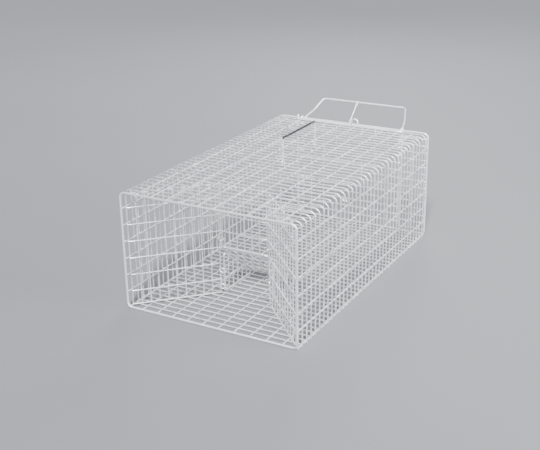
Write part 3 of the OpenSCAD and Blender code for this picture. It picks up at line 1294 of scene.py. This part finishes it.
@dataclass
class Flap:
    """The one-way flap, drawn level behind its rod and tilted down."""

    gauge: Gauge
    throat: Vector
    tilt: float
    mesh_finish: bpy.types.Material
    frame_finish: bpy.types.Material
    width: float = 64.4 * MM
    bar: float = 5 * MM
    run: float = 70 * MM
    clearance: float = 1.5 * MM
    edge: float = 2 * MM
    bend: float = 4 * MM
    lap: float = 0.6 * MM
    seam: float = 0.4
    cells: int = 6

    def build(self) -> None:
        """Builds the flap's frame and its mesh."""
        place = Matrix.Translation(self.throat) @ Matrix.Rotation(-self.tilt, 4, "X")
        length = self.run / math.cos(self.tilt)
        half = self.width / 2
        rim = Bundle(Draws.FLAP_RIM)
        corners = [(-half, self.bar), (half, self.bar), (half, length), (-half, length)]
        path = bent([Vector((x, y, 0)) for x, y in corners], self.bend, closed=True)
        rim.wire(path, self.edge, ROD_FLATS, Ends.JOINED, place)
        rim.weld(Vector((self.seam * half, length, 0)), Lump.FLAP_SEAM, place)
        rim.finish("flap_rim", "one_way_flap", ["flap_frame"], "frame_wire", self.frame_finish)
        net = Bundle(Draws.FLAP_NET)
        inner = half - self.edge / 2
        start, end = self.bar + self.edge / 2, length - self.edge / 2
        columns = spread(-inner, inner, self.cells)[1:-1]
        count = round((end - start) / self.gauge.wide_pitch)
        rungs = [start + (k + 0.5) * (end - start) / count for k in range(count)]
        reach = inner + self.lap
        sheet = Sheet(
            self.gauge, columns, rungs, (-reach, reach), (start - self.lap, end + self.lap)
        )
        sheet.build(net, place @ Matrix.Translation((0, 0, -self.gauge.wire / 2)))
        net.finish("flap_net", "one_way_flap", ["flap_mesh"], "mesh_wire", self.mesh_finish)


@dataclass
class Door:
    """The lifting rear door: a bent frame wire, its top wire, its mesh and its finger loop."""

    gauge: Gauge
    mesh_finish: bpy.types.Material
    frame_finish: bpy.types.Material
    wire: float = 2.2 * MM
    bend: float = 4 * MM
    lap: float = 0.7 * MM
    cells: int = 8
    loop_width: float = 11 * MM
    loop_round: float = 0.85

    def build(self) -> None:
        """Builds the door's three pieces."""
        low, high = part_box("door_frame")
        y = (low.y + high.y) / 2
        half = high.x - self.wire / 2
        bottom = low.z + self.wire / 2
        top = self.gauge.height - self.wire / 2
        rim = Bundle(Draws.DOOR_RIM)
        corners = [(-half, high.z), (-half, bottom), (half, bottom), (half, high.z)]
        rim.wire(bent([Vector((x, y, z)) for x, z in corners], self.bend), self.wire)
        rim.wire(bent([Vector((-half, y, top)), Vector((half, y, top))], 0), self.wire)
        for x in (-half, half):
            rim.weld(Vector((x, y, top)), Lump.DOOR_CORNER)
        rim.finish("door_rim", "rear_door", ["door_frame"], "frame_wire", self.frame_finish)
        self.net(y, half - self.wire / 2, bottom + self.wire / 2, top - self.wire / 2)
        self.loop(y, top)

    def net(self, y: float, half: float, bottom: float, top: float) -> None:
        """The door's mesh.

        Args:
            y: Middle of the frame wire.
            half: Half of the width between the side wires.
            bottom: Height of the bottom wire's upper side.
            top: Height of the top wire's lower side.
        """
        g = self.gauge
        bundle = Bundle(Draws.DOOR_NET)
        columns = spread(-half, half, self.cells)[1:-1]
        rungs = spread(bottom, top, round((top - bottom) / g.fine_pitch))[1:-1]
        place = Matrix.Translation((0, y + g.wire - g.weld / 2, 0)) @ turned(90, 0)
        reach = half + self.lap
        sheet = Sheet(g, columns, rungs, (-reach, reach), (bottom - self.lap, top + self.lap))
        sheet.build(bundle, place)
        bundle.finish("door_net", "rear_door", ["door_mesh"], "mesh_wire", self.mesh_finish)

    def loop(self, y: float, top: float) -> None:
        """The finger loop on the top wire.

        Args:
            y: Middle of the frame wire.
            top: Middle height of the top wire.
        """
        bundle = Bundle(Draws.DOOR_LOOP)
        low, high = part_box("door_loop")
        middle = (low.x + high.x) / 2
        half = (self.loop_width - self.wire) / 2
        left, right = middle - half, middle + half
        peak = high.z - self.wire / 2
        corners = [(left, top), (left, peak), (right, peak), (right, top)]
        path = bent([Vector((x, y, z)) for x, z in corners], half * self.loop_round)
        bundle.wire(path, self.wire)
        for x in (left, right):
            bundle.weld(Vector((x, y, top + 0.9 * MM)), Lump.LOOP_FOOT)
        bundle.finish(
            "door_finger_loop", "rear_door", ["door_loop"], "frame_wire", self.frame_finish
        )


@dataclass
class Handle:
    """The carrying handle, wound round the rear wire at its feet, and its twisted stay."""

    gauge: Gauge
    frame_finish: bpy.types.Material
    stay_finish: bpy.types.Material
    wire: float = 2.5 * MM
    bar: float = 60.5 * MM
    reach: float = 45 * MM
    lean: float = math.radians(25)
    bend: float = 5 * MM
    kink: float = 4.2 * MM
    strand: float = 0.95 * MM
    stay_foot: float = -2.5 * MM
    stay_head: float = -9 * MM
    foot_start: float = 250
    foot_sweep: float = -430
    knee: Sizes = (6.3, 24, 12)
    twist: float = 4.6 * MM
    twist_steps: int = 110
    wraps: int = 3
    wrap_steps: int = 60

    @property
    def place(self) -> Matrix:
        """From a level handle at the origin to the real one."""
        g = self.gauge
        pivot = Matrix.Translation((0, g.rear_mid, g.height - g.frame / 2))
        return pivot @ Matrix.Rotation(self.lean, 4, "X")

    def build(self) -> None:
        """Builds the handle and the stay."""
        self.bail()
        self.stay()

    def bail(self) -> None:
        """One wire: a wound foot, an arm, the bar, an arm and a wound foot."""
        bundle = Bundle(Draws.HANDLE)
        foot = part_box("carry_handle")[1].x - self.wire * EYE_REACH
        coil = self.gauge.frame / 2 + 0.06 * MM + self.wire / 2
        inner = self.wire * 0.52
        middle = Vector((foot - inner * 0.35, 0, 0))
        right = wound(
            middle, Axis.X, coil, self.foot_start, self.foot_sweep, -inner * 1.3
        )
        knee_in, knee_out, knee_bend = (size * MM for size in self.knee)
        knee = Vector((foot - knee_in, knee_out, -self.kink))
        corner = Vector((self.bar, self.reach, 0))
        start = right[-1] + Vector((-0.3 * MM, 3.5 * MM, 0.2 * MM))
        arm = bent([start, knee, corner], knee_bend)
        half = right + arm[:-1]
        over = bent([arm[-2], corner, Vector((0, self.reach, 0))], self.bend, step=6 * MM)
        half += over[1:]
        other = [Vector((-p.x, p.y, p.z)) for p in reversed(half[:-1])]
        bundle.wire(half + other, self.wire, place=self.place)
        bundle.finish(
            "wire_handle", "handle", ["carry_handle"], "frame_wire", self.frame_finish
        )

    def stay(self) -> None:
        """Two thin strands twisted together, looped round the rod and the bar."""
        bundle = Bundle(Draws.STAY)
        rod = self.gauge.frame / 2 + 0.08 * MM + self.strand / 2
        bar = self.wire / 2 + 0.08 * MM + self.strand / 2
        start = Vector((self.stay_foot, rod + self.strand * 0.4, 0))
        end = Vector((self.stay_head, self.reach - bar - self.strand * 0.4, 0))
        run = end - start
        turns = run.length / self.twist
        aim = run.normalized()
        across = aim.cross(Vector((0, 0, 1))).normalized()
        for phase in (0.0, math.pi):
            path = []
            for i in range(self.twist_steps + 1):
                share = i / self.twist_steps
                turn = Quaternion(aim, phase + math.tau * turns * share)
                path.append(start + run * share + turn @ (across * self.strand * 0.49))
            bundle.wire(path, self.strand, STRAND_FLATS, place=self.place)
        for x, y, radius in ((self.stay_foot, 0, rod), (self.stay_head, self.reach, bar)):
            for side in (-0.52, 0.52):
                middle = Vector((x + side * self.strand, y, 0))
                ring = wound(middle, Axis.X, radius, 0, 345, 0)
                bundle.wire(ring, self.strand, STRAND_FLATS, place=self.place)
        for share in (0.06, 0.94):
            path = []
            for i in range(self.wrap_steps + 1):
                turn = Quaternion(aim, math.tau * self.wraps * i / self.wrap_steps)
                shift = aim * self.strand * 3.1 * (i / self.wrap_steps - 0.5)
                path.append(start.lerp(end, share) + shift + turn @ (across * self.strand * 1.42))
            bundle.wire(path, self.strand, STRAND_FLATS, place=self.place)
        bundle.finish("twisted_stay", "handle", ["handle_stay"], "stay_wire", self.stay_finish)


@dataclass
class BaitRack:
    """The staple through the roof, and the two hooks that hang in its eyes."""

    gauge: Gauge
    rack_finish: bpy.types.Material
    hook_finish: bpy.types.Material
    wire: float = 2.5 * MM
    bend: float = 3.5 * MM
    eye: float = 3 * MM
    hook: float = 1.6 * MM
    shank: float = 68 * MM
    crook: float = 6 * MM

    def build(self) -> None:
        """Builds the rack and its hooks."""
        low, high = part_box("bait_rack")
        middle = (low.x + high.x) / 2
        reach = self.eye + self.wire * EYE_REACH
        stations = (low.y + reach, high.y - reach)
        level = low.z + reach
        self.staple(middle, stations, level)
        for y, name in zip(stations, ("front", "rear")):
            self.hanger(Vector((middle, y, level - self.eye)), name)

    def staple(self, x: float, stations: tuple[float, float], level: float) -> None:
        """The rack: an eye, a leg, the rod on the roof, a leg and an eye.

        Args:
            x: Station across the trap.
            stations: Stations of the front and the rear leg.
            level: Height of the eyes' middles.
        """
        bundle = Bundle(Draws.RACK)
        top = self.gauge.height + self.wire / 2
        eyes = [
            wound(Vector((x, y, level)), Axis.X, self.eye, 55 * way, 262 * way, 0)
            for y, way in zip(stations, (1, -1))
        ]
        neck = [Vector((x, y, level + self.eye + 2.6 * MM)) for y in stations]
        crown = [Vector((x, y, top)) for y in stations]
        path = list(reversed(eyes[0]))
        path += bent([neck[0], crown[0], crown[1], neck[1]], self.bend, step=8 * MM)
        path += eyes[1]
        bundle.wire(path, self.wire, FRAME_FLATS)
        bundle.finish("roof_bait_rack", "cage", ["bait_rack"], "rack_wire", self.rack_finish)

    def hanger(self, pivot: Vector, name: str) -> None:
        """One hook, with a wound eye at its top and a point at its end.

        Args:
            pivot: Middle of the wire that it hangs on.
            name: The rack end that it hangs from.
        """
        bundle = Bundle(Draws.HOOK)
        drop = self.eye - self.hook * EYE_REACH - self.wire * EYE_REACH - 0.05 * MM
        centre = pivot - Vector((0, 0, drop))
        low = centre.z - self.eye - self.shank
        path = wound(centre, Axis.Y, self.eye, -205, -300, self.hook * 0.9)[:-1]
        path.append(centre + Vector((0, 0, -self.eye - 2.2 * MM)))
        path.append(Vector((pivot.x + 2.1 * MM, pivot.y, (centre.z + low) / 2)))
        for degrees in range(0, -181, -COIL_STEP):
            angle = math.radians(degrees)
            out = pivot.x + self.crook * (math.cos(angle) - 0.3)
            path.append(Vector((out, pivot.y, low + self.crook * math.sin(angle))))
        path.append(Vector((pivot.x - self.crook * 1.42, pivot.y, low + self.crook * 0.45)))
        path.append(Vector((pivot.x - self.crook * 1.5, pivot.y, low + self.crook)))
        bundle.wire(path, self.hook, RING_FLATS, Ends.POINTED)
        bundle.finish(
            f"{name}_hook", f"{name}_hook", [f"{name}_bait_hook"], "hook_wire", self.hook_finish
        )


# ---------------------------------------------------------------------- studio


@dataclass
class Studio:
    """Plain ground, soft light and the camera."""

    lens: float = 65.19
    eye: Vector = field(default_factory=lambda: Vector((0.5312, -0.9890, 0.4904)))
    right: Vector = field(default_factory=lambda: Vector((0.8705, 0.4919, -0.0168)))
    ahead: Vector = field(default_factory=lambda: Vector((-0.4633, 0.8075, -0.3651)))

    def build(self) -> None:
        """Builds the ground, the lights and the camera."""
        self.ground()
        self.key(Vector((0.30, -0.90, 0.95)), 11.5, math.radians(8))
        self.light("fill", Vector((1.25, 0.10, 0.55)), 0.6, 30.0)
        self.light("rim", Vector((-0.45, 1.25, 0.95)), 0.6, 16.0)
        self.sky()
        self.camera()

    def ground(self) -> None:
        """A wide plain ground."""
        shape = bmesh.new()
        bmesh.ops.create_grid(shape, x_segments=2, y_segments=2, size=9.0)
        mesh = bpy.data.meshes.new("ground")
        shape.to_mesh(mesh)
        shape.free()
        mesh.materials.append(GroundFinish("pale_ground").make())
        ground = bpy.data.objects.new("ground", mesh)
        bpy.context.scene.collection.objects.link(ground)

    def key(self, spot: Vector, power: float, spread_angle: float) -> None:
        """The main light, which falls evenly over the whole ground.

        Args:
            spot: The direction that it comes from.
            power: Its power in watts for a square metre.
            spread_angle: How wide it looks, which softens its shadows.
        """
        lamp = bpy.data.lights.new("key", "SUN")
        lamp.energy = power
        lamp.angle = spread_angle
        held = bpy.data.objects.new("key", lamp)
        held.rotation_euler = (-spot).to_track_quat("-Z", "Y").to_euler()
        bpy.context.scene.collection.objects.link(held)

    def light(self, name: str, spot: Vector, size: float, power: float) -> None:
        """One soft square light that looks at the trap.

        Args:
            name: Its name.
            spot: Where it stands.
            size: Its side.
            power: Its power in watts.
        """
        lamp = bpy.data.lights.new(name, "AREA")
        lamp.size = size
        lamp.energy = power
        held = bpy.data.objects.new(name, lamp)
        held.location = spot
        aim = Vector((0, 0, 0.06)) - spot
        held.rotation_euler = aim.to_track_quat("-Z", "Y").to_euler()
        bpy.context.scene.collection.objects.link(held)

    def sky(self) -> None:
        """An even pale surround."""
        world = bpy.data.worlds.new("surround")
        world.use_nodes = True
        shade = world.node_tree.nodes["Background"]
        shade.inputs["Color"].default_value = (0.88, 0.94, 1.0, 1.0)
        shade.inputs["Strength"].default_value = 0.42
        bpy.context.scene.world = world

    def camera(self) -> None:
        """The camera, in front of the trap's right corner and above it."""
        data = bpy.data.cameras.new("camera")
        data.sensor_width = 36.0
        data.sensor_fit = "HORIZONTAL"
        data.lens = self.lens
        held = bpy.data.objects.new("camera", data)
        ahead = self.ahead.normalized()
        right = (self.right - ahead * self.right.dot(ahead)).normalized()
        turned_to = Matrix((right, right.cross(ahead), -ahead)).transposed().to_4x4()
        held.matrix_world = Matrix.Translation(self.eye) @ turned_to
        bpy.context.scene.collection.objects.link(held)
        bpy.context.scene.camera = held


def main() -> None:
    """Builds the trap's pieces, its finishes and the studio."""
    logging.basicConfig(level=logging.INFO, format="%(name)s %(message)s")
    noise.seed_set(SWAY_SEED)
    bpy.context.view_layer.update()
    Studio().build()
    gauge = Gauge()
    joints = {joint["name"]: joint for joint in frame["joints"]}
    throat = Vector(joints["flap_hinge"]["pos_m"])
    drop = throat.z - gauge.layers - Flap.clearance
    tilt = math.atan2(drop, Flap.run)
    mesh_zinc = ZincFinish("mesh_zinc").make()
    frame_zinc = ZincFinish(
        "frame_zinc", dull=(0.66, 0.68, 0.71), roughness=0.38, metallic=0.64, spangle=260.0,
        spangle_share=0.35, oxide_share=0.22,
    ).make()
    ring_zinc = ZincFinish(
        "ring_zinc", bright=(0.80, 0.80, 0.79), dull=(0.52, 0.53, 0.53), roughness=0.24,
        oxide_share=0.12,
    ).make()
    stay_zinc = ZincFinish("stay_zinc", dull=(0.60, 0.62, 0.64), metallic=0.66).make()
    hook_steel = ZincFinish(
        "hook_steel", bright=(0.62, 0.63, 0.64), dull=(0.34, 0.345, 0.35), spangle_share=0.10,
        roughness=0.33,
    ).make()
    # This finish paints shade on the rack's rod above the roof.
    rack_steel = RackFinish("rack_steel", roof=gauge.height).make()
    Cage(gauge, mesh_zinc, frame_zinc).build()
    Funnel(gauge, throat, tilt, mesh_zinc, frame_zinc).build()
    RearWall(gauge, mesh_zinc, frame_zinc).build()
    Rings(ring_zinc).build(gauge, throat, tilt)
    Flap(gauge, throat, tilt, mesh_zinc, frame_zinc).build()
    Door(gauge, mesh_zinc, frame_zinc).build()
    Handle(gauge, frame_zinc, stay_zinc).build()
    BaitRack(gauge, rack_steel, hook_steel).build()
    bpy.context.view_layer.update()


if __name__ == "__main__":
    main()
